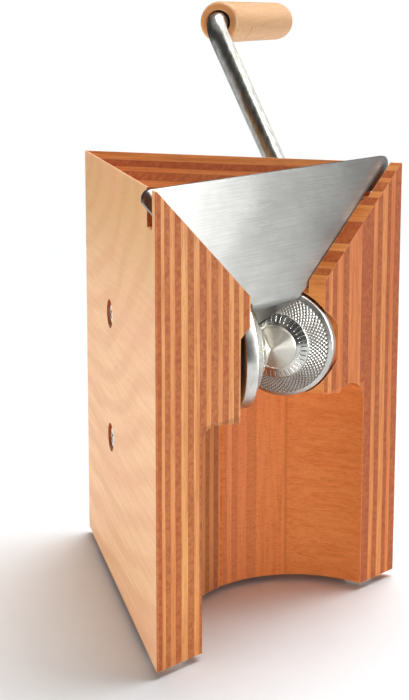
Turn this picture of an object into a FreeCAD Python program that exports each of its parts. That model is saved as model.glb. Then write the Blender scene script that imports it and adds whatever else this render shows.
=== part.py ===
import FreeCAD, Part
import math
import os

# ---------------------------------------------------------------------------
# Hand crank grain flaker.  Millimetres, +Z up, front (bowl recess) towards -Y.
# Two thick laminated boards are mitred into an upright triangular column; each
# carries one knurled cone roller on a level axis square to its own outer face.
# All pieces are first placed in a working frame (triangle centre, underside of
# the wood at z = 0) and moved to the final origin at the end: the centre of
# the bounding box of the whole machine, on the plane of its feet.
# ---------------------------------------------------------------------------

V = FreeCAD.Vector

# --- driving dimensions ----------------------------------------------------
FRONT_W = 142.0          # width of the triangle along its open front
DEPTH = 134.0            # front plane to rear edge
WOOD_H = 186.0           # height of the wooden column
BOARD_T = 43.5           # thickness of each laminated board
EDGE_BREAK = 0.7         # flat on the three upright outer edges
LIP_FLAT = 0.9           # flat left on top of the sharp hopper lip
HOPPER_SLOPE = 1.075     # drop of the hopper floor per mm inwards

RECESS_R = 48.4          # bowl recess, radius
RECESS_Y = 9.0           # its centre stands this far in front of the front plane
# cove and ceiling over the recess: radius of the cove and level of its centre,
# radius at which the cove ends, then radius and level where the ceiling turns flat
CEILING = {-1: (6.0, 85.8, 42.4, 30.6, 90.0), 1: (9.0, 84.4, 32.8, 21.9, 92.3)}

AXIS_S = 110.0           # roller axis, distance from the rear edge along a board
AXIS_Z = 113.0           # roller axis, height above the wood's underside
ROLLER_R = 22.9
ROLLER_BAND = 5.0        # width of the plain rim
KNURL_R0 = 13.9          # knurled belt of the cone
KNURL_R1 = 21.2
NOSE_R = 9.0             # turned nose inside the graduated belt
NIP = 0.5                # gap between the two cones
POCKET_R = 23.7
POCKET_D_LEFT = 38.8     # pocket floors, measured in from each outer face
POCKET_D_RIGHT = 36.0

ROD_R = 5.0              # bent crank rod
RUN = 0.04               # radial running clearance in the bushes
CRANK_W = 52.0           # arm stands this far off the outer face
CRANK_R = 147.5          # throw of the crank
CRANK_A = -25.7          # arm angle from upright, towards the rear edge
BEND_R = 9.5             # bend radius of the rod's centre line

GRIP_R = 10.3
GRIP_L = 108.0
GRIP_GAP = 8.2           # arm centre line to near end of the grip
GRIP_BORE = 6.0

PLATE_T = 1.5
PLATE_DY = 6.6           # front of the plate behind the front plane
PLATE_TILT = 1.25        # the loose plate sits slightly askew
PLATE_LIFT = 0.3
PLATE_TOP = 187.2        # level of its top edge before it is tilted
PLATE_SEAT = 3.0         # its slanted edges sit this far down in their grooves
PLATE_EAR = 2.8          # ears that stand out through the notches
PLATE_END = 4.7          # height of the upright end of an ear
EAR_RUN = 9.2            # its lower edge slopes inwards over this width
PLATE_FOLD_Z = 134.4     # where the tongue starts
TONGUE_BEND = 48.0
TONGUE_RI = 2.5
TONGUE_L = 16.5
CONE_GAP = 0.85          # least gap between tongue and cones before the tilt
GROOVE_DEEP = 5.7        # depth of the grooves, measured upright
NOTCH_Y0 = 4.4           # notch in both lips for the plate's ears
NOTCH_Y1 = 12.4
NOTCH_Z = 171.0

SCREW_S = 60.0           # corner screws, from the rear edge along the left board
SCREW_Z = (120.5, 64.5)
SCREW_HEAD_R = 5.5
SCREW_HOLE_R = 6.4
SCREW_SEAT = 3.9         # depth of the holes that the heads sit in

FOOT_R = 7.4
FOOT_H = 3.0

# final origin, seen from the working frame
ORIGIN = (50.277, 41.973, -FOOT_H)

# --- derived ---------------------------------------------------------------
SIDE = math.hypot(FRONT_W / 2.0, DEPTH)
ST = (FRONT_W / 2.0) / SIDE          # sine of half the rear corner
CT = DEPTH / SIDE
YA = 2.0 * DEPTH / 3.0               # rear edge
YF = -DEPTH / 3.0                    # front plane
A = V(0, YA, 0)
UP = V(0, 0, 1)
APEX_D = AXIS_S * ST / CT            # depth at which an axis meets the middle plane
GAP_D = (NIP / 2.0) / CT             # both cones draw back by this much
CONE = ST / CT                       # axial drop of the cone per mm of radius
TIP_D = APEX_D - GAP_D


def side(sg):
    """outward normal and front-going direction of the left (-1) or right (+1) board"""
    return V(sg * CT, ST, 0), V(sg * ST, -CT, 0)


def on_axis(sg, d):
    n, t = side(sg)
    return A + t * AXIS_S - n * d + UP * AXIS_Z


def face_from(points):
    w = Part.makePolygon(points + [points[0]])
    return Part.Face(w)


def prism(points, direction):
    return face_from(points).extrude(direction)


def turned(sg, profile, base=None, axis=None):
    """solid of revolution about a roller axis.  profile: (radius, depth) points;
    depth runs inwards from the outer face of the board"""
    n, t = side(sg)
    pts = []
    for r, d in profile:
        pts.append(A + t * AXIS_S - n * d + UP * (AXIS_Z + r))
    f = face_from(pts)
    return f.revolve(on_axis(sg, 0), n * -1.0, 360.0)


def disc(sg, r, d0, d1):
    """cylinder on a roller axis between two depths, d1 deeper than d0"""
    n, t = side(sg)
    return Part.makeCylinder(r, d1 - d0, on_axis(sg, d0), n * -1.0)


def ring(sg, r0, r1, d0, d1):
    return disc(sg, r1, d0, d1).cut(disc(sg, r0, d0 - 1, d1 + 1))


def clean(s):
    try:
        r = s.removeSplitter()
        if r.isValid() and r.Volume > 0:
            s = r
    except Exception:
        pass
    return s


# --- boards ----------------------------------------------------------------
def recess(sg):
    c = V(0, YF - RECESS_Y, 0)
    rc, zc, r_end, r_in, z_in = CEILING[sg]
    r_mid = RECESS_R - rc
    end = math.acos((r_end - r_mid) / rc)
    p = [V(0, 0, -5), V(RECESS_R, 0, -5), V(RECESS_R, 0, zc),
         V(r_end, 0, zc + rc * math.sin(end)), V(r_in, 0, z_in), V(0, 0, z_in)]
    mid = V(r_mid + rc * math.cos(end / 2.0), 0, zc + rc * math.sin(end / 2.0))
    edges = [Part.LineSegment(p[0], p[1]).toShape(),
             Part.LineSegment(p[1], p[2]).toShape(),
             Part.Arc(p[2], mid, p[3]).toShape(),
             Part.LineSegment(p[3], p[4]).toShape(),
             Part.LineSegment(p[4], p[5]).toShape(),
             Part.LineSegment(p[5], p[0]).toShape()]
    f = Part.Face(Part.Wire(edges))
    s = f.revolve(V(0, 0, 0), UP, 360.0)
    s.translate(c)
    return s


def board(sg):
    n, t = side(sg)
    corner = A + t * SIDE
    e = EDGE_BREAK
    inner_front = V(corner.x - sg * BOARD_T / CT, YF, 0)
    inner_rear = V(0, YA - BOARD_T / ST, 0)
    # small flat on the rear edge, shared by both boards
    outline = [V(0, YA - e * CT, 0), V(sg * e * ST, YA - e * CT, 0),
               corner - t * e, V(corner.x - sg * e, YF, 0),
               inner_front, inner_rear]
    b = prism(outline, UP * WOOD_H)
    # hopper floor: falls inwards from the outer lip
    o = A - t * 60.0
    run = 160.0
    q = [o - n * LIP_FLAT + UP * WOOD_H,
         o - n * run + UP * (WOOD_H - HOPPER_SLOPE * (run - LIP_FLAT)),
         o - n * run + UP * (WOOD_H + 40.0),
         o - n * LIP_FLAT + UP * (WOOD_H + 40.0)]
    b = b.cut(prism(q, t * (SIDE + 140.0)))
    b = b.cut(recess(sg))
    # notch for the ear of the plate, through the thin lip
    notch = Part.makeBox(300, NOTCH_Y1 - NOTCH_Y0, 60,
                         V(-150, YF + NOTCH_Y0, NOTCH_Z))
    b = b.cut(notch)
    # groove that holds the slanted edge of the plate
    g0 = YF + PLATE_DY - 0.35
    groove = Part.makeBox(400, PLATE_T + 0.7, 400, V(-200, g0, -100))
    k = GROOVE_DEEP
    q = [o - n * (LIP_FLAT - 6.0) + UP * (WOOD_H + 6.0 * HOPPER_SLOPE - k),
         o - n * run + UP * (WOOD_H - HOPPER_SLOPE * (run - LIP_FLAT) - k),
         o - n * run + UP * (WOOD_H + 40.0),
         o - n * (LIP_FLAT - 6.0) + UP * (WOOD_H + 40.0)]
    b = b.cut(groove.common(prism(q, t * (SIDE + 140.0))))
    # roller pocket
    pd = POCKET_D_LEFT if sg < 0 else POCKET_D_RIGHT
    b = b.cut(disc(sg, POCKET_R, pd, BOARD_T + 20.0))
    if sg < 0:
        # the left pocket runs straight down into the bowl recess
        c = A + t * AXIS_S - n * pd
        w = t * POCKET_R
        q = [c - w + UP * 80.0, c + w + UP * 80.0, c + w + UP * AXIS_Z, c - w + UP * AXIS_Z]
        b = b.cut(prism(q, n * -20.0))
    # bores
    if sg > 0:
        b = b.cut(disc(sg, 7.5, -1.0, 14.0))
        b = b.cut(disc(sg, 6.2, 13.0, 20.0))
        b = b.cut(disc(sg, 7.5, 18.0, pd + 1.0))
        # corner screw pilot holes
        for z in SCREW_Z:
            nl, tl = side(-1)
            p = A + tl * SCREW_S + UP * z
            b = b.cut(Part.makeCylinder(2.5, 60.0, p, nl * -1.0))
    else:
        b = b.cut(disc(sg, 9.0, 9.0, pd + 1.0))
        b = b.cut(disc(sg, 16.0, pd - 3.0, pd + 1.0))
        for k in range(3):
            a = math.radians(90 + 120 * k)
            p = on_axis(sg, pd) + t * (12.4 * math.cos(a)) + UP * (12.4 * math.sin(a))
            b = b.cut(Part.makeCylinder(1.25, 13.5, p, n))
        for z in SCREW_Z:
            p = A + t * SCREW_S + UP * z
            b = b.cut(Part.makeCylinder(2.5, 60.0, p, n * -1.0))
            b = b.cut(Part.makeCylinder(SCREW_HOLE_R, SCREW_SEAT, p, n * -1.0))
    b = clean(b)
    # a crumb that a cutter frees falls away
    return max(b.Solids, key=lambda q: q.Volume)


def corner_screws():
    n, t = side(-1)
    out = []
    for z in SCREW_Z:
        p = A + t * SCREW_S + UP * z - n * SCREW_SEAT
        # low round head, shank and point, turned about the screw's own axis
        prof = [(0, 0), (SCREW_HEAD_R, 0), (SCREW_HEAD_R, 1.9), (5.0, 2.7),
                (3.8, 3.15), (1.8, 3.35), (0, 3.35)]
        pts = [p + t * r + n * d for r, d in prof]
        head = face_from(pts).revolve(p, n, 360.0)
        shank = [(0, 0), (2.5, 0), (2.5, -48.0), (0.4, -53.0), (0, -53.0)]
        pts = [p + t * r + n * d for r, d in shank]
        body = face_from(pts).revolve(p, n, 360.0)
        s = head.fuse(body)
        for ang in (45.0, 135.0):
            a = math.radians(ang)
            u = t * math.cos(a) + UP * math.sin(a)
            w = t * -math.sin(a) + UP * math.cos(a)
            q = [p + u * 2.6 + w * 0.55 + n * 1.4, p - u * 2.6 + w * 0.55 + n * 1.4,
                 p - u * 2.6 - w * 0.55 + n * 1.4, p + u * 2.6 - w * 0.55 + n * 1.4]
            s = s.cut(prism(q, n * 4.0))
        out.append(clean(s))
    return Part.Compound(out)


# --- hopper plate ----------------------------------------------------------
def soft_outline(corners):
    """closed wire through (x, z, radius) corners, each corner rounded"""
    n = len(corners)
    pts = [V(c[0], 0, c[1]) for c in corners]
    edges = []
    ends = []
    for i in range(n):
        p, a, b = pts[i], pts[i - 1], pts[(i + 1) % n]
        r = corners[i][2]
        if r <= 0:
            ends.append((p, p, None))
            continue
        u, w = (a - p).normalize(), (b - p).normalize()
        half = math.acos(max(-1.0, min(1.0, u.dot(w)))) / 2.0
        k = r / math.tan(half)
        mid = (u + w).normalize()
        ends.append((p + u * k, p + w * k, p + mid * (r / math.sin(half) - r)))
    for i in range(n):
        p0, p1, m = ends[i]
        if m is not None:
            edges.append(Part.Arc(p0, m, p1).toShape())
        q = ends[(i + 1) % n][0]
        edges.append(Part.LineSegment(p1, q).toShape())
    return Part.Wire(edges)


def cone_clear(x, y, z):
    """distance of a point to the right roller's cone"""
    d = -(x * CT + (y - YA) * ST)
    s = ST * x - CT * (y - YA)
    return (d + CONE * math.hypot(s - AXIS_S, z - AXIS_Z) - TIP_D) * CT


def widest(y, z, gap):
    lo, hi = 0.0, 30.0
    for _ in range(50):
        m = (lo + hi) / 2.0
        if cone_clear(m, y, z) > gap:
            lo = m
        else:
            hi = m
    return lo


def plate_shape():
    y0 = YF + PLATE_DY
    ym = y0 + PLATE_T / 2.0
    d0 = -((ym - YA) * ST)                      # depth below an outer face at x = 0
    k = HOPPER_SLOPE * CT
    z_0 = WOOD_H + HOPPER_SLOPE * (LIP_FLAT - d0)
    floor = lambda x: z_0 + k * x               # hopper floor in the plate's plane
    x_lip = d0 / CT                             # outer face of the board
    xe = x_lip + PLATE_EAR
    bz = PLATE_FOLD_Z
    half = [(14.0, bz, 0.0), (17.3, floor(17.3) - PLATE_SEAT, 2.2),
            (52.8, floor(52.8) - PLATE_SEAT, 1.5), (55.0, NOTCH_Z + 1.45, 1.5),
            (xe - EAR_RUN, NOTCH_Z + 1.6, 1.0), (xe, PLATE_TOP - PLATE_END, 0.7),
            (xe, PLATE_TOP, 3.6)]
    corners = half + [(-x, z, r) for x, z, r in reversed(half)]
    w = soft_outline(corners)
    w.translate(V(0, y0, 0))
    flat = Part.Face(w).extrude(V(0, PLATE_T, 0))
    # tongue: bent back under the hopper and cut to follow the cones
    ang = math.radians(TONGUE_BEND)
    ri, ro = TONGUE_RI, TONGUE_RI + PLATE_T
    cy = y0 + ro

    def arc_pt(rr, a):
        return V(0, cy - rr * math.cos(a), bz - rr * math.sin(a))

    du = V(0, math.sin(ang), -math.cos(ang))
    o1, i1 = arc_pt(ro, ang), arc_pt(ri, ang)
    e = [Part.Arc(arc_pt(ro, 0), arc_pt(ro, ang / 2), o1).toShape(),
         Part.LineSegment(o1, o1 + du * TONGUE_L).toShape(),
         Part.LineSegment(o1 + du * TONGUE_L, i1 + du * TONGUE_L).toShape(),
         Part.LineSegment(i1 + du * TONGUE_L, i1).toShape(),
         Part.Arc(i1, arc_pt(ri, ang / 2), arc_pt(ri, 0)).toShape(),
         Part.LineSegment(arc_pt(ri, 0), arc_pt(ro, 0)).toShape()]
    f = Part.Face(Part.Wire(e))
    f.translate(V(-20, 0, 0))
    strip = f.extrude(V(40, 0, 0))
    # plan outline that keeps the underside clear of both cones
    edge = [(14.0, y0 - 2.0), (14.0, y0)]
    low = [arc_pt(ro, ang * j / 2.0) for j in (1, 2)]
    low += [o1 + du * (TONGUE_L * j / 5.0) for j in range(1, 6)]
    for p in low:
        edge.append((min(13.6, widest(p.y, p.z, CONE_GAP)), p.y))
    edge[-1] = (max(0.5, edge[-1][0]), low[-1].y)
    edge.append((0.45, low[-1].y + 3.0))
    pts = [V(x, y, 100) for x, y in edge] + [V(-x, y, 100) for x, y in reversed(edge)]
    strip = strip.common(prism(pts, V(0, 0, 60)))
    return clean(flat.fuse(strip))


def plate():
    s = plate_shape()
    # it rests askew: turned about the fold, right side high
    s.rotate(V(0, YF + PLATE_DY, PLATE_FOLD_Z), V(0, -1, 0), PLATE_TILT)
    s.translate(V(0, 0, PLATE_LIFT))
    return s


# --- rollers and drive -----------------------------------------------------
def roller(sg, bore_to, hub):
    back = TIP_D - ROLLER_R * CONE - ROLLER_BAND
    c0 = TIP_D - KNURL_R1 * CONE
    rim = TIP_D - ROLLER_R * CONE
    hub_r, hub_back = hub
    prof = [(0, TIP_D - 1.1), (0.9, TIP_D - 0.9 * CONE), (KNURL_R1, c0),
            (ROLLER_R - 0.4, rim + 0.1), (ROLLER_R, rim - 0.5),
            (ROLLER_R, back + 0.5), (ROLLER_R - 0.5, back), (hub_r, back),
            (hub_r, hub_back), (ROD_R, hub_back), (ROD_R, bore_to), (0, bore_to + 1.2)]
    return clean(turned(sg, prof))


BACK_D = TIP_D - ROLLER_R * CONE - ROLLER_BAND     # back face of a roller


def drive_roller():
    return roller(1, 52.3, (13.0, 38.2))


def idler_roller():
    return roller(-1, 52.3, (9.0, 39.85))


def crank_rod():
    n, t = side(1)
    a = math.radians(CRANK_A)
    u = (t * math.sin(a) + UP * math.cos(a))
    p0 = on_axis(1, 52.0)
    p1 = on_axis(1, -CRANK_W)
    p2 = p1 + u * CRANK_R
    p3 = p2 + n * 93.0
    r = BEND_R
    k = 1.0 - math.sqrt(0.5)
    a1, a2 = p1 - n * r, p1 + u * r
    am = p1 + (u - n) * (r * k)
    b1, b2 = p2 - u * r, p2 + n * r
    bm = p2 + (n - u) * (r * k)
    # five joined runs: straight, bend, straight, bend, straight
    s1 = Part.makeCylinder(ROD_R, (a1 - p0).Length, p0, n)
    s3 = Part.makeCylinder(ROD_R, (b1 - a2).Length, a2, u)
    s5 = Part.makeCylinder(ROD_R, (p3 - b2).Length, b2, n)
    def elbow(centre, start, d_start, axis):
        c = Part.makeCircle(ROD_R, start, d_start)
        f = Part.Face(Part.Wire([c]))
        return f.revolve(centre, axis, 90.0)
    w = n.cross(u)
    e1 = elbow(p1 - n * r + u * r, a1, n, w)
    e2 = elbow(p2 + n * r - u * r, b1, u, w * -1.0)
    s = s1.fuse([e1, s3, e2, s5])
    # groove for the clip that keeps the grip on, and small end flats
    g0 = p2 + n * (88.0)
    groove = Part.makeCylinder(ROD_R + 1, 1.1, g0, n).cut(
        Part.makeCylinder(4.5, 1.1, g0, n))
    s = s.cut(groove)
    return clean(s)


def grip_frame():
    n, t = side(1)
    a = math.radians(CRANK_A)
    u = (t * math.sin(a) + UP * math.cos(a))
    return on_axis(1, -CRANK_W) + u * CRANK_R, n, u


def grip():
    c, n, u = grip_frame()
    x0 = GRIP_GAP
    x1 = x0 + GRIP_L
    R = GRIP_R

    def P(x, r):
        return c + n * x + u * r

    s45 = math.sin(math.radians(45))
    nr = 3.2                                   # rounding of the near end
    # domed far end: a corner arc that runs into a cap centred on the axis
    rc, cap = 8.0, 11.5
    dx = math.sqrt((cap - rc) ** 2 - (R - rc) ** 2)
    xc = x1 - cap                              # centre of the cap
    xb = xc + dx                               # centre of the corner arc
    th = math.atan2(R - rc, dx)                # where the two arcs meet
    join = P(xb + rc * math.cos(th), (R - rc) + rc * math.sin(th))
    mid1 = (math.pi / 2 + th) / 2
    m1 = P(xb + rc * math.cos(mid1), (R - rc) + rc * math.sin(mid1))
    m2 = P(xc + cap * math.cos(th / 2), cap * math.sin(th / 2))
    e = [Part.LineSegment(P(x0 + 0.5, GRIP_BORE), P(x0, GRIP_BORE + 0.5)).toShape(),
         Part.LineSegment(P(x0, GRIP_BORE + 0.5), P(x0, R - nr)).toShape(),
         Part.Arc(P(x0, R - nr), P(x0 + nr * (1 - s45), R - nr + nr * s45),
                  P(x0 + nr, R)).toShape(),
         Part.LineSegment(P(x0 + nr, R), P(xb, R)).toShape(),
         Part.Arc(P(xb, R), m1, join).toShape(),
         Part.Arc(join, m2, P(x1, 0)).toShape(),
         Part.LineSegment(P(x1, 0), P(x0 + 88.0, 0)).toShape(),
         Part.LineSegment(P(x0 + 88.0, 0), P(x0 + 86.0, GRIP_BORE)).toShape(),
         Part.LineSegment(P(x0 + 86.0, GRIP_BORE), P(x0 + 0.5, GRIP_BORE)).toShape()]
    return Part.Face(Part.Wire(e)).revolve(c, n, 360.0)


def grip_sleeve():
    c, n, u = grip_frame()
    x0 = GRIP_GAP + 12.0
    o = Part.makeCylinder(GRIP_BORE, 87.6 - x0, c + n * x0, n)
    return o.cut(Part.makeCylinder(ROD_R + RUN, 120, c + n * (x0 - 5), n))


def grip_clip():
    c, n, u = grip_frame()
    o = Part.makeCylinder(5.75, 1.0, c + n * 88.05, n)
    o = o.cut(Part.makeCylinder(4.52, 3.0, c + n * 87.0, n))
    gap = prism([c + n * 87 + u * 0 + (n.cross(u)) * 0.9, c + n * 87 + u * 9 + (n.cross(u)) * 1.6,
                 c + n * 87 + u * 9 - (n.cross(u)) * 1.6, c + n * 87 - (n.cross(u)) * 0.9], n * 3.0)
    return clean(o.cut(gap))


def shaft_collar():
    # clamping collar outside the board, with a radial threaded hole
    n, t = side(1)
    s = ring(1, ROD_R, 10.0, -12.4, -2.45)
    c = on_axis(1, -7.4)
    s = s.cut(Part.makeCylinder(2.0, 12.0, c, UP))
    return clean(s)


def collar_screw():
    c = on_axis(1, -7.4)
    s = Part.makeCylinder(2.0, 4.6, c + UP * (ROD_R + 0.02), UP)
    s = s.cut(Part.makeCylinder(1.1, 2.4, c + UP * (ROD_R + 2.4), UP))
    return clean(s)


def bush_inner():
    d = POCKET_D_RIGHT
    return ring(1, ROD_R + RUN, 7.5, 20.0, d).fuse(
        ring(1, ROD_R + RUN, 11.5, d, d + 1.2)).removeSplitter()


def bush_outer():
    return ring(1, ROD_R + RUN, 7.5, 0.0, 13.0).fuse(
        ring(1, ROD_R + RUN, 11.5, -1.2, 0.0)).removeSplitter()


def washer_inner():
    d = POCKET_D_RIGHT
    return ring(1, ROD_R + 0.15, 10.5, d + 1.22, 38.18)


def washer_outer():
    return ring(1, ROD_R + 0.15, 10.5, -2.42, -1.22)


def idler_shaft():
    s = disc(-1, ROD_R, 13.0, 52.0)
    g = ring(-1, 4.5, 7.0, 14.6, 15.7)
    return clean(s.cut(g))


def idler_housing():
    pd = POCKET_D_LEFT
    n, t = side(-1)
    s = disc(-1, 9.0, 10.0, pd).fuse(disc(-1, 16.0, pd - 3.0, pd))
    s = s.cut(disc(-1, 7.0, 11.6, pd + 2))
    for k in range(3):
        a = math.radians(90 + 120 * k)
        p = on_axis(-1, pd) + t * (12.4 * math.cos(a)) + UP * (12.4 * math.sin(a))
        s = s.cut(Part.makeCylinder(1.7, 10, p + n * 5, n * -1.0))
        s = s.cut(Part.makeCone(3.0, 1.5, 1.9, p, n))
    return clean(s)


def idler_housing_screws():
    pd = POCKET_D_LEFT
    n, t = side(-1)
    out = []
    for k in range(3):
        a = math.radians(90 + 120 * k)
        p = on_axis(-1, pd) + t * (12.4 * math.cos(a)) + UP * (12.4 * math.sin(a))
        s = Part.makeCone(2.9, 1.25, 1.9, p, n).fuse(
            Part.makeCylinder(1.25, 9.5, p + n * 1.9, n)).fuse(
            Part.makeCone(1.25, 0.2, 1.8, p + n * 11.4, n))
        slot = prism([p + t * 2.0 + UP * 0.35, p - t * 2.0 + UP * 0.35,
                      p - t * 2.0 - UP * 0.35, p + t * 2.0 - UP * 0.35], n * 0.8)
        out.append(clean(s.cut(slot)))
    return Part.Compound(out)


def idler_bushes():
    pd = POCKET_D_LEFT
    a = ring(-1, ROD_R + RUN, 7.0, pd - 10.0, pd)
    b = ring(-1, ROD_R + RUN, 7.0, 17.0, 27.0)
    return Part.Compound([a, b])


def idler_thrust_washer():
    return ring(-1, ROD_R + 0.15, 8.8, POCKET_D_LEFT + 0.02, 39.83)


def idler_end_washer():
    return ring(-1, ROD_R + 0.15, 6.8, 15.8, 16.98)


def idler_clip():
    n, t = side(-1)
    s = ring(-1, 4.52, 6.4, 14.65, 15.65)
    c = on_axis(-1, 14.0)
    q = [c + t * 0.9, c + t * 1.5 + UP * -8, c - t * 1.5 + UP * -8, c - t * 0.9]
    return clean(s.cut(prism(q, n * -3.0)))


def foot(x, y):
    prof = [V(0, 0, 0), V(FOOT_R, 0, 0), V(FOOT_R, 0, -0.7), V(FOOT_R - 0.5, 0, -1.5),
            V(FOOT_R - 1.4, 0, -FOOT_H), V(0, 0, -FOOT_H)]
    s = face_from(prof).revolve(V(0, 0, 0), UP, 360.0)
    s.translate(V(x, y, 0))
    return s


FEET = {"foot_left": (-55.5, -36.0), "foot_right": (55.5, -36.0), "foot_rear": (0.0, 66.0)}


def build():
    nodes = {}
    nodes["left_board"] = board(-1)
    nodes["right_board"] = board(1)
    nodes["corner_screws"] = corner_screws()
    nodes["hopper_plate"] = plate()
    nodes["drive_roller"] = drive_roller()
    nodes["idler_roller"] = idler_roller()
    nodes["crank_rod"] = crank_rod()
    nodes["drive_bush_inner"] = bush_inner()
    nodes["drive_bush_outer"] = bush_outer()
    nodes["drive_thrust_washer"] = washer_inner()
    nodes["collar_washer"] = washer_outer()
    nodes["shaft_collar"] = shaft_collar()
    nodes["collar_grub_screw"] = collar_screw()
    nodes["idler_shaft"] = idler_shaft()
    nodes["idler_housing"] = idler_housing()
    nodes["idler_housing_screws"] = idler_housing_screws()
    nodes["idler_bushes"] = idler_bushes()
    nodes["idler_thrust_washer"] = idler_thrust_washer()
    nodes["idler_end_washer"] = idler_end_washer()
    nodes["idler_retaining_clip"] = idler_clip()
    nodes["crank_grip"] = grip()
    nodes["grip_sleeve"] = grip_sleeve()
    nodes["grip_retaining_clip"] = grip_clip()
    for name, (x, y) in FEET.items():
        nodes[name] = foot(x, y)
    return nodes


def main():
    os.makedirs("parts", exist_ok=True)
    nodes = build()
    lo = [1e9] * 3
    hi = [-1e9] * 3
    shift = V(-ORIGIN[0], -ORIGIN[1], -ORIGIN[2])
    for name, s in nodes.items():
        s = s.copy()
        s.translate(shift)
        s.exportStep("parts/" + name + ".step")
        b = s.BoundBox
        for i, (a, c) in enumerate(((b.XMin, b.XMax), (b.YMin, b.YMax), (b.ZMin, b.ZMax))):
            lo[i] = min(lo[i], a)
            hi[i] = max(hi[i], c)
        print("%-22s valid %s solids %d volume %.1f  x %.2f..%.2f y %.2f..%.2f z %.2f..%.2f" % (
            name, s.isValid(), len(s.Solids), s.Volume,
            b.XMin, b.XMax, b.YMin, b.YMax, b.ZMin, b.ZMax))
    print("box", [round(v, 3) for v in lo], [round(v, 3) for v in hi])


main()
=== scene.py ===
import bpy
import bmesh
import math
import numpy as np
from mathutils import Matrix, Vector


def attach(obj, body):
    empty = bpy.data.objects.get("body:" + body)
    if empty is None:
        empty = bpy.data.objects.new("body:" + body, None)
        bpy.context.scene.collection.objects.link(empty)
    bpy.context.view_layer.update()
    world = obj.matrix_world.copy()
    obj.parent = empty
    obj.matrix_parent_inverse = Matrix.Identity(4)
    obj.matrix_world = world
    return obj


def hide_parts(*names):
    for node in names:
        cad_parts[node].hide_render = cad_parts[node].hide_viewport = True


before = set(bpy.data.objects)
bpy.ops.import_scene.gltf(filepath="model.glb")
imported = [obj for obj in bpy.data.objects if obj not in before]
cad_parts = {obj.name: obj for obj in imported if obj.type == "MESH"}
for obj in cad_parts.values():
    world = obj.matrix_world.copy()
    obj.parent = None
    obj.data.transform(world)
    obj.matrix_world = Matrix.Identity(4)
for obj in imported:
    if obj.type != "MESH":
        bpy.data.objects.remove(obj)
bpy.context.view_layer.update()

# ---------------------------------------------------------------------------
# Hand crank grain flaker: camera, light, floor, materials and turned pieces.
# Positions are worked out in the working frame of the part (millimetres,
# triangle centre) and moved to the row frame by W().
# ---------------------------------------------------------------------------

ORG = Vector((50.277, 41.973, -3.0))


def W(p):
    return (Vector(p) - ORG) / 1000.0


FRONT_W, DEPTH, WOOD_H = 142.0, 134.0, 186.0
SIDE = math.hypot(FRONT_W / 2, DEPTH)
ST, CT = (FRONT_W / 2) / SIDE, DEPTH / SIDE
YA, YF = 2 * DEPTH / 3, -DEPTH / 3
AXIS_S, AXIS_Z = 110.0, 113.0
CONE = ST / CT
TIP_D = AXIS_S * ST / CT - 0.25 / CT
ROLLER_R = 22.9
BACK_D = TIP_D - ROLLER_R * CONE - 5.0
UP = Vector((0, 0, 1))


def side(sg):
    return Vector((sg * CT, ST, 0)), Vector((sg * ST, -CT, 0))


def on_axis(sg, d):
    n, t = side(sg)
    return Vector((0, YA, 0)) + t * AXIS_S - n * d + UP * AXIS_Z


def srgb(r, g, b):
    out = []
    for v in (r, g, b):
        v /= 255.0
        out.append(v / 12.92 if v <= 0.04045 else ((v + 0.055) / 1.055) ** 2.4)
    return (out[0], out[1], out[2], 1.0)


# --- camera ----------------------------------------------------------------
yaw, pitch, roll = 0.7455, 0.1486, 0.0014
f0 = Vector((math.sin(yaw), math.cos(yaw), 0))
rt = Vector((math.cos(yaw), -math.sin(yaw), 0))
fwd = f0 * math.cos(pitch) - UP * math.sin(pitch)
up2 = UP * math.cos(pitch) + f0 * math.sin(pitch)
r_ = rt * math.cos(roll) + up2 * math.sin(roll)
u_ = up2 * math.cos(roll) - rt * math.sin(roll)
cam_data = bpy.data.cameras.new("camera")
cam = bpy.data.objects.new("camera", cam_data)
bpy.context.scene.collection.objects.link(cam)
rot = Matrix((r_, u_, -fwd)).transposed().to_4x4()
cam.matrix_world = Matrix.Translation(W((-377.29, -402.886, 250.056))) @ rot
cam_data.sensor_fit = 'VERTICAL'
cam_data.sensor_height = 36.0
cam_data.lens = 1311.35 * 36.0 / 700.0
cam_data.shift_x = 0.0
cam_data.shift_y = -0.2
cam_data.clip_start, cam_data.clip_end = 0.01, 60.0
bpy.context.scene.camera = cam
bpy.context.scene.view_settings.view_transform = 'Standard'
bpy.context.scene.view_settings.look = 'None'


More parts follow.
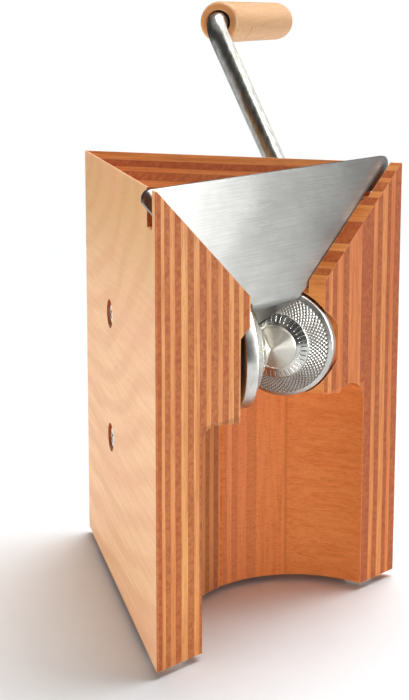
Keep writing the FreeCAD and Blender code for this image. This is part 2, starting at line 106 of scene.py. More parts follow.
# --- node helper -----------------------------------------------------------
class Mat:
    def __init__(self, name):
        self.m = bpy.data.materials.new(name)
        self.m.use_nodes = True
        self.t = self.m.node_tree
        self.t.nodes.clear()
        self.out = self.new('ShaderNodeOutputMaterial')
        self.b = self.new('ShaderNodeBsdfPrincipled')
        self.t.links.new(self.b.outputs[0], self.out.inputs[0])
        self.tc = self.new('ShaderNodeTexCoord')

    def new(self, kind, **kw):
        n = self.t.nodes.new(kind)
        for k, v in kw.items():
            setattr(n, k, v)
        return n

    def put(self, sock, v):
        if isinstance(v, bpy.types.NodeSocket):
            self.t.links.new(v, sock)
        elif v is not None:
            sock.default_value = v

    def math(self, op, a, b=None, c=None, clamp=False):
        n = self.new('ShaderNodeMath', operation=op, use_clamp=clamp)
        for i, v in enumerate((a, b, c)):
            self.put(n.inputs[i], v)
        return n.outputs[0]

    def vec(self, op, a, b=None, c=None, scale=None):
        n = self.new('ShaderNodeVectorMath', operation=op)
        for i, v in enumerate((a, b, c)):
            self.put(n.inputs[i], v)
        if scale is not None:
            self.put(n.inputs['Scale'], scale)
        return n.outputs['Value' if op in ('DOT_PRODUCT', 'LENGTH', 'DISTANCE') else 'Vector']

    def xyz(self, x, y, z):
        n = self.new('ShaderNodeCombineXYZ')
        for i, v in enumerate((x, y, z)):
            self.put(n.inputs[i], v)
        return n.outputs[0]

    def mix(self, f, a, b, blend='MIX'):
        n = self.new('ShaderNodeMix', data_type='RGBA', blend_type=blend)
        n.clamp_factor = True
        self.put(n.inputs[0], f)
        self.put(n.inputs[6], a)
        self.put(n.inputs[7], b)
        return n.outputs[2]

    def lerp(self, f, a, b):
        n = self.new('ShaderNodeMix', data_type='FLOAT')
        self.put(n.inputs[0], f)
        self.put(n.inputs[2], a)
        self.put(n.inputs[3], b)
        return n.outputs[0]

    def vlerp(self, f, a, b):
        n = self.new('ShaderNodeMix', data_type='VECTOR')
        self.put(n.inputs[0], f)
        self.put(n.inputs[4], a)
        self.put(n.inputs[5], b)
        return n.outputs[1]

    def step(self, v, lo, hi, a=0.0, b=1.0):
        n = self.new('ShaderNodeMapRange', interpolation_type='SMOOTHSTEP')
        n.clamp = True
        self.put(n.inputs[0], v)
        n.inputs[1].default_value = lo
        n.inputs[2].default_value = hi
        n.inputs[3].default_value = a
        n.inputs[4].default_value = b
        return n.outputs[0]

    def noise(self, v, scale=1.0, detail=2.0, rough=0.5, dist=0.0, dim='3D'):
        n = self.new('ShaderNodeTexNoise', noise_dimensions=dim)
        self.put(n.inputs['Vector'], v)
        n.inputs['Scale'].default_value = scale
        n.inputs['Detail'].default_value = detail
        n.inputs['Roughness'].default_value = rough
        n.inputs['Distortion'].default_value = dist
        return n.outputs[0]

    def ramp(self, f, stops, interp='LINEAR'):
        n = self.new('ShaderNodeValToRGB')
        n.color_ramp.interpolation = interp
        e = n.color_ramp.elements
        while len(e) < len(stops):
            e.new(0.5)
        for k, (p, c) in enumerate(stops):
            e[k].position = p
            e[k].color = c if hasattr(c, '__len__') else (c, c, c, 1)
        self.put(n.inputs[0], f)
        return n.outputs[0]

    def bump(self, h, strength=0.3, dist=0.0002, normal=None):
        n = self.new('ShaderNodeBump')
        n.inputs['Strength'].default_value = strength
        n.inputs['Distance'].default_value = dist
        self.put(n.inputs['Height'], h)
        if normal is not None:
            self.put(n.inputs['Normal'], normal)
        return n.outputs[0]

    def set(self, **kw):
        names = {'color': 'Base Color', 'rough': 'Roughness', 'metal': 'Metallic', 'normal': 'Normal',
                 'aniso': 'Anisotropic', 'arot': 'Anisotropic Rotation', 'tangent': 'Tangent',
                 'ior': 'IOR', 'trans': 'Transmission Weight', 'coat': 'Coat Weight',
                 'coat_rough': 'Coat Roughness', 'spec': 'Specular IOR Level', 'alpha': 'Alpha',
                 'sss': 'Subsurface Weight'}
        for k, v in kw.items():
            self.put(self.b.inputs[names[k]], v)
        return self.m

    def place(self):
        """point in working millimetres"""
        return self.vec('MULTIPLY_ADD', self.tc.outputs['Object'], (1000.0,) * 3, tuple(ORG))


# --- laminated wood --------------------------------------------------------
PLIES_LEFT = [0, 2.4, 3.9, 6.1, 8.5, 11.0, 14.2, 16.8, 19.5, 22.6, 24.9, 28.0, 30.3, 33.0, 35.6, 37.8,
              40.1, 42.6, 45.0]
PLIES_RIGHT = [0, 4.0, 6.4, 8.2, 11.4, 13.9, 16.4, 22.8, 30.3, 33.1, 36.8, 39.2, 41.4, 45.0]


# painted shade: how strongly each board's bowl recess takes the redder, darker recess tone
RECESS_SHADE_MIX = {-1: 0.1, 1: 0.5}


def wood(name, sg, bounds, light, dark, warm, skin):
    g = Mat(name)
    n, t = side(sg)
    P = g.place()
    rel = g.vec('SUBTRACT', P, (0, YA, 0))
    d = g.math('MULTIPLY', g.vec('DOT_PRODUCT', rel, tuple(n)), -1.0)
    s = g.vec('DOT_PRODUCT', rel, tuple(t))
    sp = g.new('ShaderNodeSeparateXYZ')
    g.put(sp.inputs[0], P)
    z = sp.outputs[2]
    slow = g.noise(g.vec('MULTIPLY', P, (0.018, 0.018, 0.011)), 1.0, 1.5)
    dw = g.math('ADD', d, g.math('MULTIPLY_ADD', slow, 0.9, -0.45))
    k = len(bounds) - 1
    look = g.ramp(g.math('DIVIDE', dw, 45.0), [(b / 45.0, i / k) for i, b in enumerate(bounds)])
    pos = g.math('MULTIPLY', look, float(k))
    idx = g.math('FLOOR', pos)
    fr = g.math('FRACT', pos)
    kind = g.math('MODULO', idx, 2.0)                    # 0: fibres along the board, 1: upright
    kindB = g.math('SUBTRACT', 1.0, g.math('MINIMUM', kind, 1.0))
    tone = g.new('ShaderNodeTexWhiteNoise', noise_dimensions='1D')
    g.put(tone.inputs['W'], g.math('ADD', idx, 3.7 + sg))
    tone_v = tone.outputs['Value']
    nrm = g.tc.outputs['Normal']
    e_up = g.math('ABSOLUTE', g.vec('DOT_PRODUCT', nrm, (0, 0, 1)))
    e_al = g.math('ABSOLUTE', g.vec('DOT_PRODUCT', nrm, tuple(t)))
    e = g.lerp(kindB, e_up, e_al)
    end = g.step(e, 0.2, 0.8)
    shift = g.math('MULTIPLY', idx, 17.3)
    # fibre directions: along the board, or upright
    upv = g.xyz(g.math('MULTIPLY', s, 0.5), g.math('MULTIPLY_ADD', d, 0.5, shift), g.math('MULTIPLY', z, 0.022))
    alv = g.xyz(g.math('MULTIPLY', s, 0.022), g.math('MULTIPLY_ADD', d, 0.5, shift), g.math('MULTIPLY', z, 0.5))
    fib = g.vlerp(kindB, upv, alv)
    streak = g.noise(fib, 1.0, 4.0, 0.62, 0.4)
    fine_u = g.xyz(g.math('MULTIPLY', s, 2.3), g.math('MULTIPLY', d, 2.3), g.math('MULTIPLY', z, 0.17))
    fine_a = g.xyz(g.math('MULTIPLY', s, 0.17), g.math('MULTIPLY', d, 2.3), g.math('MULTIPLY', z, 2.3))
    fine = g.noise(g.vlerp(kindB, fine_u, fine_a), 1.0, 2.0, 0.6)
    pores = g.step(fine, 0.56, 0.70)
    grit = g.noise(g.vec('MULTIPLY', P, (2.4, 2.4, 1.2)), 1.0, 2.0, 0.65)
    speck = g.step(grit, 0.52, 0.68)
    # ring-like bands of the peeled outer veneer
    sy = g.math('MULTIPLY_ADD', s, 0.55, 8.0)
    zz = g.math('SUBTRACT', WOOD_H + 4.0, z)
    swirl = g.noise(g.vec('MULTIPLY', P, (0.014, 0.014, 0.014)), 1.0, 1.5, 0.5)
    rr = g.math('SQRT', g.math('ADD', g.math('MULTIPLY', sy, sy), g.math('MULTIPLY', zz, zz)))
    rr = g.math('MULTIPLY_ADD', swirl, 26.0, rr)
    wave = g.math('SINE', g.math('MULTIPLY', rr, 2 * math.pi / 14.0))
    band = g.math('MULTIPLY', g.step(wave, -0.5, 0.98), g.step(streak, 0.1, 0.6, 0.6, 1.0))
    band2 = g.step(g.noise(g.xyz(g.math('MULTIPLY', s, 0.012), d, g.math('MULTIPLY', z, 0.045)), 1.0, 2.0), 0.42, 0.66)
    outer = g.step(d, 1.0, 0.4)
    face = g.math('MULTIPLY', outer, g.step(g.math('ABSOLUTE', g.vec('DOT_PRODUCT', nrm, tuple(n))), 0.8, 0.95))
    # colour of the fibre's side and of its end
    c_side = g.mix(g.step(streak, 0.34, 0.68), light[0], light[1])
    c_end = g.mix(g.step(streak, 0.36, 0.66), dark[0], dark[1])
    c = g.mix(end, c_side, c_end)
    c_skin = g.mix(g.step(streak, 0.3, 0.7), skin[0], skin[1])
    # painted shade: the outer face turns darker towards the top
    c_skin = g.mix(g.step(z, 110.0, 186.0), c_skin, srgb(222, 174, 120))
    c = g.mix(face, c, c_skin)
    c = g.mix(g.math('MULTIPLY', g.math('MULTIPLY', g.step(tone_v, 0.35, 0.95), 0.55), g.math('SUBTRACT', 1.0, face)), c, warm, 'MULTIPLY')
    c = g.mix(g.math('MULTIPLY', g.math('MULTIPLY', band, face), 0.30), c, srgb(214, 148, 106))
    c = g.mix(g.math('MULTIPLY', g.math('MULTIPLY', band2, face), 0.40), c, srgb(236, 172, 134))
    dash = g.math('MULTIPLY', g.math('MULTIPLY', pores, g.lerp(end, 0.36, 0.10)), g.lerp(face, 1.0, 0.45))
    dots = g.math('MULTIPLY', speck, g.lerp(end, 0.05, 0.20))
    c = g.mix(g.math('ADD', dash, dots), c, srgb(128, 62, 30))
    # glue lines
    edge = g.math('MINIMUM', fr, g.math('SUBTRACT', 1.0, fr))
    glue = g.step(edge, 0.06, 0.0)
    glue = g.math('MULTIPLY', glue, g.math('SUBTRACT', 1.0, face))
    c = g.mix(g.math('MULTIPLY', glue, 0.45), c, srgb(120, 62, 36))
    # painted highlight: a pale line along every edge, standing in for light caught by the eased edges
    bev = g.new('ShaderNodeBevel', samples=6)
    bev.inputs['Radius'].default_value = 0.0007
    geo = g.new('ShaderNodeNewGeometry')
    turn = g.vec('DOT_PRODUCT', bev.outputs[0], geo.outputs['Normal'])
    edge_highlight = g.step(turn, 0.992, 0.90)
    c = g.mix(g.math('MULTIPLY', edge_highlight, 0.26), c, srgb(250, 200, 144))
    # painted highlight: the upward-facing flat top of the lip is painted pale
    lip_top_highlight = g.math('MULTIPLY', g.step(d, 1.25, 0.95), g.step(g.vec('DOT_PRODUCT', nrm, (0, 0, 1)), 0.8, 0.95))
    c = g.mix(g.math('MULTIPLY', lip_top_highlight, 0.75), c, srgb(250, 204, 164))
    # inside the bowl recess: fine horizontal fibre dashes, with a redder, darker tone that is painted shade and painted
    # reddish bounce light
    bowl = g.vec('LENGTH', g.vec('MULTIPLY', g.vec('SUBTRACT', P, (0.0, YF - 9.0, 0.0)), (1.0, 1.0, 0.0)))
    recess_shade_mask = g.math('MULTIPLY', g.step(bowl, 49.1, 48.7), g.step(z, 93.0, 92.0))
    fibre = g.noise(g.xyz(g.math('MULTIPLY', s, 0.35), g.math('MULTIPLY', d, 0.35), g.math('MULTIPLY', z, 3.2)), 1.0, 2.0, 0.6)
    recess_grain_and_shade = g.mix(g.noise(g.vec('MULTIPLY', P, (0.03, 0.03, 0.02)), 1.0, 2.0), srgb(236, 128, 62), srgb(230, 142, 80))
    recess_grain_and_shade = g.mix(g.step(fibre, 0.50, 0.66, 0.0, 0.55), recess_grain_and_shade, srgb(178, 78, 36))
    c = g.mix(g.math('MULTIPLY', recess_shade_mask, RECESS_SHADE_MIX[sg]), c, recess_grain_and_shade)
    # painted shade: the left board's recess wall is darkened further
    if sg < 0:
        c = g.mix(g.math('MULTIPLY', recess_shade_mask, 0.8), c, (0.70, 0.66, 0.60, 1.0), 'MULTIPLY')
    h = g.math('MULTIPLY_ADD', fine, 0.5, g.math('MULTIPLY', g.math('ADD', grit, glue), 0.25))
    h = g.math('SUBTRACT', g.math('MULTIPLY', g.math('SUBTRACT', 1.0, pores), 0.6), g.math('MULTIPLY', glue, 0.4))
    rough = g.lerp(end, 0.5, 0.66)
    return g.set(color=c, rough=rough, normal=g.bump(h, 0.35, 0.00015), spec=0.22)


m_left = wood("plywood_left", -1, PLIES_LEFT,
              (srgb(246, 176, 106), srgb(226, 146, 78)), (srgb(206, 122, 64), srgb(182, 96, 46)),
              srgb(238, 202, 180), (srgb(246, 200, 154), srgb(236, 184, 138)))
m_right = wood("plywood_right", 1, PLIES_RIGHT,
               (srgb(240, 156, 84), srgb(218, 124, 58)), (srgb(198, 108, 54), srgb(176, 86, 40)),
               srgb(240, 202, 180), (srgb(240, 188, 140), srgb(226, 168, 118)))


# --- turned grip -----------------------------------------------------------
def beech():
    g = Mat("beech_grip")
    n, t = side(1)
    a = math.radians(-25.7)
    u = t * math.sin(a) + UP * math.cos(a)
    w = n.cross(u)
    P = g.place()
    ax = g.vec('DOT_PRODUCT', P, tuple(n))
    bx = g.vec('DOT_PRODUCT', P, tuple(u))
    cx = g.vec('DOT_PRODUCT', P, tuple(w))
    v = g.xyz(g.math('MULTIPLY', ax, 0.03), g.math('MULTIPLY', bx, 0.42), g.math('MULTIPLY', cx, 0.42))
    st = g.noise(v, 1.0, 3.0, 0.6, 0.5)
    v2 = g.xyz(g.math('MULTIPLY', ax, 0.18), g.math('MULTIPLY', bx, 2.6), g.math('MULTIPLY', cx, 2.6))
    fi = g.noise(v2, 1.0, 2.0, 0.6)
    c = g.mix(g.step(st, 0.3, 0.75), srgb(244, 188, 128), srgb(230, 170, 110))
    c = g.mix(g.math('MULTIPLY', g.step(fi, 0.56, 0.68), 0.5), c, srgb(186, 122, 72))
    # one dark grain mark on the far side of the near end
    hub = on_axis(1, -52.0) + u * 147.5 + n * 32.6
    m0 = hub + (u * math.cos(math.radians(168)) + w * math.sin(math.radians(168))) * 10.3
    m1 = hub + (u * math.cos(math.radians(133)) + w * math.sin(math.radians(133))) * 10.3
    seg = m1 - m0
    q0 = g.vec('SUBTRACT', P, tuple(m0))
    al = g.math('DIVIDE', g.vec('DOT_PRODUCT', q0, tuple(seg)), seg.length_squared, clamp=True)
    off = g.vec('LENGTH', g.vec('SUBTRACT', q0, g.vec('SCALE', tuple(seg), scale=al)))
    mark = g.step(g.math('ADD', off, g.math('MULTIPLY', fi, 0.5)), 1.25, 0.75)
    c = g.mix(g.math('MULTIPLY', mark, 0.6), c, srgb(150, 92, 50))
    ends = g.math('ABSOLUTE', g.vec('DOT_PRODUCT', g.tc.outputs['Normal'], tuple(n)))
    c = g.mix(g.math('MULTIPLY', g.step(ends, 0.5, 0.95), 0.8), c, srgb(196, 128, 78))
    return g.set(color=c, rough=g.lerp(st, 0.5, 0.36), normal=g.bump(g.math('SUBTRACT', 1.0, g.step(fi, 0.55, 0.75)), 0.25, 0.0001),
                 spec=0.45)


m_beech = beech()


# --- metals ----------------------------------------------------------------
def metal(name, lo, hi, rough=0.3, spread=0.12, scale=(0.05, 0.05, 0.05), bump=0.12, aniso=0.0, spots=0.0):
    g = Mat(name)
    P = g.place()
    v = g.vec('MULTIPLY', P, scale)
    a = g.noise(v, 1.0, 4.0, 0.6)
    b = g.noise(g.vec('MULTIPLY', P, tuple(k * 7.0 for k in scale)), 1.0, 2.0, 0.6)
    c = g.mix(g.step(a, 0.3, 0.7), lo, hi)
    if spots:
        c = g.mix(g.math('MULTIPLY', g.step(b, 0.6, 0.75), spots), c, srgb(70, 66, 60))
    r = g.math('MULTIPLY_ADD', a, spread, rough - spread / 2)
    return g, c, r, b, P


def plain_metal(name, lo, hi, rough, **kw):
    g, c, r, b, P = metal(name, lo, hi, rough, **kw)
    return g.set(color=c, rough=r, metal=1.0, normal=g.bump(b, 0.15, 0.00005))


m_screw = plain_metal("zinc_screw", srgb(214, 218, 224), srgb(250, 250, 250), 0.22, scale=(0.35, 0.35, 0.35), spots=0.3)
m_rod = plain_metal("bright_rod", srgb(146, 144, 137), srgb(184, 183, 176), 0.3, scale=(0.5, 0.5, 0.16), spread=0.16, spots=0.3)
m_washer = plain_metal("washer_steel", srgb(180, 178, 172), srgb(214, 212, 208), 0.32, scale=(0.4, 0.4, 0.4))
m_collar = plain_metal("collar_steel", srgb(176, 176, 174), srgb(206, 206, 204), 0.26, scale=(0.4, 0.4, 0.4))
m_dark = plain_metal("blackened_screw", srgb(34, 34, 36), srgb(58, 58, 60), 0.42, scale=(0.8, 0.8, 0.8))
m_bronze = plain_metal("bronze_bush", srgb(176, 128, 72), srgb(204, 158, 98), 0.38, scale=(0.6, 0.6, 0.6), spots=0.4)


def brushed_plate():
    g, c, r, b, P = metal("brushed_plate", srgb(132, 132, 129), srgb(148, 148, 145), 0.31, spread=0.06, scale=(0.03, 0.03, 0.03))
    a = math.radians(1.25)
    ex, ez = (math.cos(a), 0, math.sin(a)), (-math.sin(a), 0, math.cos(a))
    x = g.vec('DOT_PRODUCT', P, ex)
    z = g.vec('DOT_PRODUCT', P, ez)
    sp = g.new('ShaderNodeSeparateXYZ')
    g.put(sp.inputs[0], P)
    lines = g.noise(g.xyz(g.math('MULTIPLY', x, 0.05), g.math('MULTIPLY', sp.outputs[1], 4.0), g.math('MULTIPLY', z, 5.0)), 1.0, 3.0, 0.7)
    c = g.mix(g.math('MULTIPLY', g.step(lines, 0.35, 0.7), 0.55), c, srgb(112, 112, 110))
    tan = g.new('ShaderNodeCombineXYZ')
    for i, v in enumerate(ez):
        tan.inputs[i].default_value = v
    return g.set(color=c, rough=r, metal=1.0, aniso=0.72, tangent=tan.outputs[0],
                 normal=g.bump(lines, 0.30, 0.00008))


m_plate = brushed_plate()


def roller_steel(sg):
    g, c, r, b, P = metal("roller_steel_" + ("left" if sg < 0 else "right"), srgb(188, 187, 181), srgb(216, 215, 209), 0.28,
                          spread=0.1, scale=(0.12, 0.12, 0.12))
    n, t = side(sg)
    rel = g.vec('SUBTRACT', P, tuple(on_axis(sg, 0)))
    rad = g.vec('LENGTH', g.vec('CROSS_PRODUCT', rel, tuple(n)))
    nose = g.step(rad, 9.2, 8.8)
    belt = g.math('MULTIPLY', g.step(rad, 13.7, 14.0), g.step(rad, 21.4, 21.1))
    ht = g.new('ShaderNodeAttribute', attribute_name='high')
    hv = ht.outputs['Fac']
    turns = g.noise(g.xyz(g.math('MULTIPLY', rad, 6.0), 0.0, 0.0), 1.0, 3.0, 0.7)
    c = g.mix(nose, c, srgb(206, 202, 192))
    c = g.mix(g.math('MULTIPLY', g.step(hv, 0.9, 0.1), g.lerp(belt, 0.75, 0.5)), c, srgb(110, 104, 94))
    c = g.mix(g.math('MULTIPLY', belt, 0.4), c, srgb(150, 146, 138))
    ringz = g.math('MULTIPLY', g.step(rad, 9.1, 9.3), g.step(rad, 13.8, 13.6))
    r = g.lerp(nose, r, 0.42)
    r = g.lerp(belt, r, 0.36)
    r = g.lerp(ringz, r, 0.2)
    around = g.vec('NORMALIZE', g.vec('SUBTRACT', rel, g.vec('PROJECT', rel, tuple(n))))
    vt = g.new('ShaderNodeVectorTransform', vector_type='VECTOR', convert_from='OBJECT', convert_to='WORLD')
    g.put(vt.inputs[0], around)
    g.set(tangent=vt.outputs[0], aniso=g.lerp(nose, 0.25, 0.8))
    c = g.mix(g.math('MULTIPLY', g.step(b, 0.6, 0.76), 0.25), c, srgb(60, 56, 50))
    return g.set(color=c, rough=r, metal=1.0, normal=g.bump(turns, 0.2, 0.00006))


m_roll = {-1: roller_steel(-1), 1: roller_steel(1)}


def rubber():
    g = Mat("clear_rubber")
    P = g.place()
    a = g.noise(g.vec('MULTIPLY', P, (0.5, 0.5, 0.5)), 1.0, 2.0)
    c = g.mix(a, srgb(206, 196, 186), srgb(226, 218, 208))
    return g.set(color=c, rough=g.math('MULTIPLY_ADD', a, 0.15, 0.18), trans=0.3, ior=1.45,
                 normal=g.bump(a, 0.1, 0.0001))


m_rubber = rubber()


# --- turned meshes ---------------------------------------------------------
def new_object(name, verts, faces, mat, smooth=True, sharp=35.0):
    me = bpy.data.meshes.new(name)
    me.from_pydata([tuple(v) for v in verts], [], faces)
    me.validate()
    bm = bmesh.new()
    bm.from_mesh(me)
    bmesh.ops.recalc_face_normals(bm, faces=bm.faces)
    bm.to_mesh(me)
    bm.free()
    if smooth:
        me.polygons.foreach_set("use_smooth", [True] * len(me.polygons))
        me.set_sharp_from_angle(angle=math.radians(sharp))
    me.materials.append(mat)
    ob = bpy.data.objects.new(name, me)
    bpy.context.scene.collection.objects.link(ob)
    return ob


def lathe(name, origin, axis, ref, rings, count, mat, high=None, sharp=35.0):
    """closed turned mesh.  rings: list of (radius, place along axis, offset function or None);
    the first and last ring close on the axis"""
    axis, ref = Vector(axis).normalized(), Vector(ref).normalized()
    third = axis.cross(ref)
    th = np.arange(count) * 2 * math.pi / count
    A3, R3, T3, O3 = (np.array(v) for v in (axis, ref, third, origin))
    circ = np.cos(th)[:, None] * R3 + np.sin(th)[:, None] * T3
    verts, faces, hs = [], [], []
    prev = None
    for r, x, off in rings:
        if r <= 0:
            verts.append(O3 + A3 * x)
            hs.append(1.0)
            cur = [len(verts) - 1]
        else:
            dx, dr, hh = off(r, th) if off else (np.zeros(count), np.zeros(count), np.ones(count))
            pts = O3 + A3 * (x + dx)[:, None] + circ * (r + dr)[:, None]
            k0 = len(verts)
            verts.extend(pts)
            hs.extend(hh)
            cur = list(range(k0, k0 + count))
        if prev is not None:
            if len(prev) == 1:
                faces += [(prev[0], cur[i], cur[(i + 1) % count]) for i in range(count)]
            elif len(cur) == 1:
                faces += [(prev[(i + 1) % count], prev[i], cur[0]) for i in range(count)]
            else:
                faces += [(prev[i], cur[i], cur[(i + 1) % count], prev[(i + 1) % count]) for i in range(count)]
        prev = cur
    ob = new_object(name, [W(v) for v in verts], faces, mat, True, sharp)
    if high:
        at = ob.data.attributes.new(high, 'FLOAT', 'POINT')
        at.data.foreach_set("value", hs)
    return ob


def make_roller(sg, name, body, hub_r, hub_back, bore_to):
    n, t = side(sg)
    ca = 1.0 / math.sqrt(1 + CONE * CONE)
    sa = CONE * ca
    teeth = 66
    depth = 0.32
    ticks = 38

    def on_cone(r):
        return TIP_D - r * CONE

    def tri(v):
        f = np.mod(v, 1.0)
        return 1.0 - np.abs(2.0 * f - 1.0)

    def knurl(r, th):
        slant = r / ca
        u = th * teeth / (2 * math.pi)
        v = slant / 1.9
        h = np.minimum(tri(u + v), tri(u - v))
        h = np.clip(h * 1.5, 0, 1)
        fade = min(1.0, (r - 13.9) / 0.25, (21.2 - r) / 0.25)
        cut = depth * (1 - h) * max(0.0, fade)
        return -cut * ca, -cut * sa, 1 - (1 - h) * max(0.0, fade)

    def tick(r, th):
        f = np.mod(th * ticks / (2 * math.pi), 1.0)
        w = 0.5 - np.abs(f - 0.5)
        width = 0.24 * ticks / (2 * math.pi * r)
        g = np.clip(1 - w / width, 0, 1)
        fade = max(0.0, min(1.0, (r - 10.5) / 0.2, (13.2 - r) / 0.2))
        cut = 0.3 * g * fade
        return -cut * ca, -cut * sa, 1 - g * fade

    rings = [(0.0, TIP_D - 1.1, None), (0.45, TIP_D - 0.8, None), (0.9, on_cone(0.9), None)]
    for r in np.linspace(1.3, 8.8, 11):
        rings.append((r, on_cone(r), None))
    rings += [(9.0, on_cone(9.0) - 0.22, None), (9.2, on_cone(9.2), None)]
    for r in list(np.linspace(9.6, 13.5, 24)):
        rings.append((r, on_cone(r), tick))
    rings += [(13.65, on_cone(13.65), None), (13.78, on_cone(13.78) - 0.3, None), (13.88, on_cone(13.88) - 0.02, None)]
    for r in np.linspace(13.92, 21.18, 72):
        rings.append((r, on_cone(r), knurl))
    rings += [(21.2, on_cone(21.2), None), (21.5, on_cone(21.5) - 0.02, None)]
    rim = on_cone(ROLLER_R)
    rings += [(22.45, rim + 0.12, None), (22.66, rim - 0.02, None), (22.82, rim - 0.22, None), (22.9, rim - 0.5, None),
              (22.9, BACK_D + 0.5, None), (22.75, BACK_D + 0.15, None), (22.4, BACK_D, None),
              (hub_r, BACK_D, None), (hub_r, hub_back, None), (5.0, hub_back, None), (5.0, bore_to, None),
              (0.0, bore_to + 1.2, None)]
    org = on_axis(sg, 0)
    ob = lathe(name, org, -n, UP, rings, 1008, m_roll[sg], high='high', sharp=50.0)
    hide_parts("drive_roller" if sg > 0 else "idler_roller")
    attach(ob, body)
    return ob


make_roller(1, "knurled_drive_roller", "crank", 13.0, 38.2, 52.3)
make_roller(-1, "knurled_idler_roller", "idler", 9.0, 39.85, 52.3)


# --- bent rod as a round bar with smooth bends -----------------------------
def make_rod():
    n, t = side(1)
    a = math.radians(-25.7)
    u = t * math.sin(a) + UP * math.cos(a)
    p0 = on_axis(1, 52.0)
    p1 = on_axis(1, -52.0)
    p2 = p1 + u * 147.5
    p3 = p2 + n * 93.0
    R, r = 5.0, 9.5
    path, tang = [], []

    def line(a, b, k):
        for i in range(k):
            f = i / k
            path.append(a.lerp(b, f))
            tang.append((b - a).normalized())

    def arc(c, d0, d1, k):
        # quarter turn about c that starts moving along d0 and ends along d1
        for i in range(k):
            q = math.pi / 2 * i / k
            path.append(c + (-d1) * (r * math.cos(q)) + d0 * (r * math.sin(q)))
            tang.append(d0 * math.cos(q) + d1 * math.sin(q))

    line(p0, p1 - n * r, 6)
    arc(p1 - n * r + u * r, n, u, 20)
    line(p1 + u * r, p2 - u * r, 8)
    arc(p2 + n * r - u * r, u, n, 20)
    line(p2 + n * r, p2 + n * 87.95, 4)
    w = n.cross(u)
    count = 72
    verts, faces = [], []

    def add_ring(c, tg, rad):
        e1 = tg.cross(w).normalized()
        k0 = len(verts)
        for i in range(count):
            q = 2 * math.pi * i / count
            verts.append(c + (e1 * math.cos(q) + w * math.sin(q)) * rad)
        return k0

    starts = [add_ring(p0 + n * 0.0, n, 4.4), add_ring(p0 + n * 0.6, n, R)]
    for c, tg in zip(path[1:], tang[1:]):
        starts.append(add_ring(c, tg, R))
    for x, rad in ((87.95, R), (88.02, 4.5), (89.08, 4.5), (89.12, R), (92.4, R), (93.0, 4.4)):
        starts.append(add_ring(p2 + n * x, n, rad))
    for a0, b0 in zip(starts[:-1], starts[1:]):
        for i in range(count):
            j = (i + 1) % count
            faces.append((a0 + i, b0 + i, b0 + j, a0 + j))
    faces.append(tuple(range(starts[0], starts[0] + count))[::-1])
    faces.append(tuple(range(starts[-1], starts[-1] + count)))
    ob = new_object("bent_crank_rod", [W(v) for v in verts], faces, m_rod, True, 30.0)
    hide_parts("crank_rod")
    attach(ob, "crank")


make_rod()


# --- grip as a finely turned piece -----------------------------------------
def make_grip():
    n, t = side(1)
    a = math.radians(-25.7)
    u = t * math.sin(a) + UP * math.cos(a)
    c = on_axis(1, -52.0) + u * 147.5
    x0, x1, R = 8.2, 8.2 + 108.0, 10.3
    nr, rc, cap = 3.2, 8.0, 11.5
    dx = math.sqrt((cap - rc) ** 2 - (R - rc) ** 2)
    xc = x1 - cap
    xb = xc + dx
    th = math.atan2(R - rc, dx)
    rings = [(0.0, x0 + 88.0, None), (6.0, x0 + 86.0, None), (6.0, x0 + 0.5, None), (6.5, x0, None)]
    for i in range(9):
        q = math.pi / 2 * i / 8
        rings.append((R - nr + nr * math.sin(q), x0 + nr - nr * math.cos(q), None))
    for i in range(1, 10):
        rings.append((R, x0 + nr + (xb - x0 - nr) * i / 10.0, None))
    for i in range(14):
        q = math.pi / 2 + (th - math.pi / 2) * i / 13.0
        rings.append((R - rc + rc * math.sin(q), xb + rc * math.cos(q), None))
    for i in range(1, 8):
        q = th * (1 - i / 8.0)
        rings.append((cap * math.sin(q), xc + cap * math.cos(q), None))
    rings.append((0.0, x1, None))
    ob = lathe("turned_grip", c, n, u, rings, 96, m_beech, sharp=40.0)
    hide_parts("crank_grip")
    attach(ob, "grip")


make_grip()

# --- finishes of the machined nodes ----------------------------------------
FINISH = {
    "left_board": m_left, "right_board": m_right, "corner_screws": m_screw, "hopper_plate": m_plate,
    "drive_bush_inner": m_bronze, "drive_bush_outer": m_bronze, "idler_bushes": m_bronze,
    "drive_thrust_washer": m_washer, "collar_washer": m_washer, "idler_thrust_washer": m_washer,
    "idler_end_washer": m_washer, "shaft_collar": m_collar, "idler_housing": m_collar,
    "collar_grub_screw": m_dark, "idler_retaining_clip": m_dark, "grip_retaining_clip": m_dark,
    "idler_housing_screws": m_screw, "idler_shaft": m_rod, "grip_sleeve": m_collar,
    "foot_left": m_rubber, "foot_right": m_rubber, "foot_rear": m_rubber,
}
for name, mat in FINISH.items():
    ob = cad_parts[name]
    if not ob.material_slots:
        ob.data.materials.append(mat)
    for s in ob.material_slots:
        s.material = mat


# --- floor -----------------------------------------------------------------
def floor():
    g = Mat("studio_floor")
    a = g.noise(g.tc.outputs['Object'], 60.0, 2.0)
    c = g.mix(a, srgb(241, 245, 248), srgb(246, 249, 251))
    g.set(color=c, rough=g.math('MULTIPLY_ADD', a, 0.1, 0.75), spec=0.1, normal=g.bump(a, 0.03, 0.0001))
    verts, faces = [(-0.05, -0.04, 0.0)], []
    k, m = 96, 12
    for j in range(1, m + 1):
        for i in range(k):
            q = 2 * math.pi * i / k
            verts.append((-0.05 + 0.9 * j / m * math.cos(q), -0.04 + 0.9 * j / m * math.sin(q), 0.0))
    for i in range(k):
        faces.append((0, 1 + i, 1 + (i + 1) % k))
    for j in range(m - 1):
        for i in range(k):
            a0, a1 = 1 + j * k + i, 1 + j * k + (i + 1) % k
            faces.append((a0, a0 + k, a1 + k, a1))
    ob = new_object("floor", verts, faces, g.m, False)
    for p in ob.data.polygons:
        if p.normal.z < 0:
            p.flip()


floor()


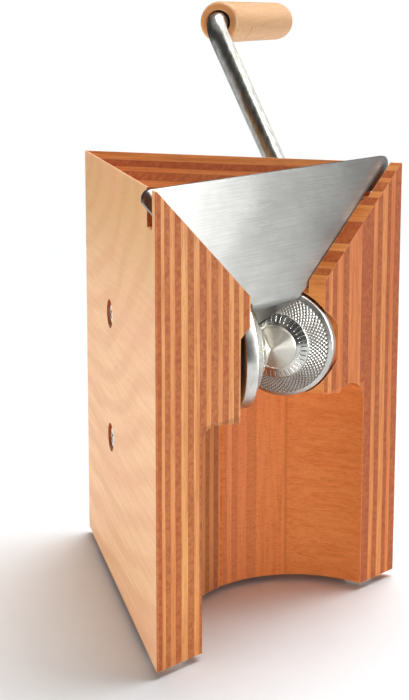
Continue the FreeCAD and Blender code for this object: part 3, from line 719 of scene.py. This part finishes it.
# --- light -----------------------------------------------------------------
def area(name, at, look, size, power, size_y=None, color=(1, 1, 1)):
    ld = bpy.data.lights.new(name, 'AREA')
    ld.shape = 'RECTANGLE'
    ld.size = size
    ld.size_y = size_y or size
    ld.energy = power
    ld.color = color
    ob = bpy.data.objects.new(name, ld)
    ob.location = at
    ob.rotation_euler = (Vector(look) - Vector(at)).to_track_quat('-Z', 'Y').to_euler()
    bpy.context.scene.collection.objects.link(ob)
    return ob


sun = bpy.data.lights.new("key", 'SUN')
sun.energy = 3.15
sun.angle = math.radians(44)
sun_ob = bpy.data.objects.new("key", sun)
el, az = math.radians(67), math.radians(84)
sun_dir = Vector((math.cos(el) * math.sin(az), math.cos(el) * math.cos(az), math.sin(el)))
sun_ob.rotation_euler = sun_dir.to_track_quat('Z', 'Y').to_euler()
bpy.context.scene.collection.objects.link(sun_ob)

fill = area("fill_left", (-1.25, 0.34, 0.10), (-0.05, 0, 0.1), 1.0, 8.7, 0.18)
fill.visible_glossy = False
front = area("fill_front", (-0.62, -1.12, 0.08), (-0.02, 0, 0.05), 0.8, 4.8, 0.16)
front.visible_glossy = False
card = area("card_right", (0.48, -1.15, 0.30), (-0.05, -0.04, 0.12), 0.52, 25.0, 0.9)
card.visible_diffuse = False

# studio surroundings: even white for the eye, dimmer as fill, and a soft box and
# a dark side for reflections
world = bpy.data.worlds.new("studio")
bpy.context.scene.world = world
world.use_nodes = True
wt = world.node_tree
wt.nodes.clear()


def wn(kind, **kw):
    n = wt.nodes.new(kind)
    for k, v in kw.items():
        setattr(n, k, v)
    return n


def wput(sock, v):
    if isinstance(v, bpy.types.NodeSocket):
        wt.links.new(v, sock)
    else:
        sock.default_value = v


def wmath(op, a, b=None, c=None):
    n = wn('ShaderNodeMath', operation=op)
    for i, v in enumerate((a, b, c)):
        if v is not None:
            wput(n.inputs[i], v)
    return n.outputs[0]


def wstep(v, lo, hi):
    n = wn('ShaderNodeMapRange', interpolation_type='SMOOTHSTEP')
    wput(n.inputs[0], v)
    n.inputs[1].default_value, n.inputs[2].default_value = lo, hi
    return n.outputs[0]


tcw = wn('ShaderNodeTexCoord')
sepw = wn('ShaderNodeSeparateXYZ')
wput(sepw.inputs[0], tcw.outputs['Generated'])
dx, dy, dz = sepw.outputs[0], sepw.outputs[1], sepw.outputs[2]
hl = wmath('SQRT', wmath('ADD', wmath('MULTIPLY', dx, dx), wmath('MULTIPLY_ADD', dy, dy, 1e-5)))


def toward(deg):
    a = math.radians(deg)
    return wmath('DIVIDE', wmath('ADD', wmath('MULTIPLY', dx, math.sin(a)), wmath('MULTIPLY', dy, math.cos(a))), hl)


box = wmath('MULTIPLY', wstep(toward(127.0), 0.60, 0.70), wstep(dz, 0.16, 0.30))
back = wstep(toward(75.0), 0.90, 0.96)
top = wmath('MULTIPLY', wstep(dz, 0.5, 0.85), 0.45)
refl = wmath('ADD', wmath('MULTIPLY_ADD', box, 2.1, 0.07), wmath('MULTIPLY_ADD', back, 0.8, top))
lp = wn('ShaderNodeLightPath')
soft = wmath('MULTIPLY_ADD', lp.outputs['Is Glossy Ray'], -1.0, 1.0)
level = wmath('ADD', wmath('MULTIPLY', lp.outputs['Is Glossy Ray'], refl), wmath('MULTIPLY', soft, 0.17))
cam_ray = lp.outputs['Is Camera Ray']
level = wmath('ADD', wmath('MULTIPLY', cam_ray, 1.0), wmath('MULTIPLY', wmath('SUBTRACT', 1.0, cam_ray), level))
bg = wn('ShaderNodeBackground')
bg.inputs['Color'].default_value = (1.0, 1.0, 1.0, 1.0)
wput(bg.inputs['Strength'], level)
wo = wn('ShaderNodeOutputWorld')
wt.links.new(bg.outputs[0], wo.inputs[0])
